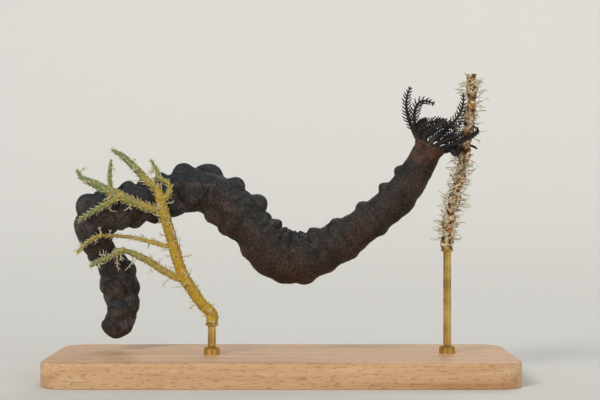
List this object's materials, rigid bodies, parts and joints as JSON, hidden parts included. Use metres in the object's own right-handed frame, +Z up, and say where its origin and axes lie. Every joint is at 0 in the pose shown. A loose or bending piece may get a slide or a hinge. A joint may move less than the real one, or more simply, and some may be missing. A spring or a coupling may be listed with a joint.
{
  "type": "sea cucumber model",
  "caption": "Life-size still model of a dark, knobbly synaptid sea cucumber with feathery tentacles, draped over cut seaweed on a wooden stand with brass rods.",
  "frame": {"origin": "middle of the stand's underside", "axes": "+X from the tail end towards the mouth end, -Y the front that faces the viewer, +Z up"},
  "size_m": [0.184, 0.076, 0.1216],
  "materials": {
    "body_skin": "satin skin-textured resin, mottled dark grey-brown with fine cream dots",
    "crown_skin": "satin skin-textured resin, dark grey",
    "weed": "matt, ochre to olive green with fine pale bristles",
    "stalk_crust": "rough matt crust",
    "beech": "fine straight grain, satin oil",
    "brass": "satin turned"
  },
  "bodies": {
    "root": {"tail_tip": "body_skin", "hanging_tail": "body_skin", "rear_bend": "body_skin", "rear_hump": "body_skin", "mid_slope": "body_skin", "mid_sag": "body_skin", "fore_rise": "body_skin", "neck": "body_skin", "oral_disc": "crown_skin", "tentacle_01": "crown_skin", "tentacle_02": "crown_skin", "tentacle_03": "crown_skin", "tentacle_04": "crown_skin", "tentacle_05": "crown_skin", "tentacle_06": "crown_skin", "tentacle_07": "crown_skin", "tentacle_08": "crown_skin", "tentacle_09": "crown_skin", "tentacle_10": "crown_skin", "tentacle_11": "crown_skin", "tentacle_12": "crown_skin", "tentacle_13": "crown_skin", "tentacle_14": "crown_skin", "tentacle_15": "crown_skin", "perch_weed_stem": "weed", "perch_weed_twig_1": "weed", "perch_weed_twig_2": "weed", "perch_weed_twig_3": "weed", "perch_weed_twig_4": "weed", "perch_weed_twig_5": "weed", "perch_weed_twig_6": "weed", "perch_weed_twig_7": "weed", "perch_weed_twig_8": "weed", "perch_stalk": "stalk_crust", "stand_base": "beech", "stand_rod_left": "brass", "stand_rod_right": "brass"}
  },
  "joints": []
}
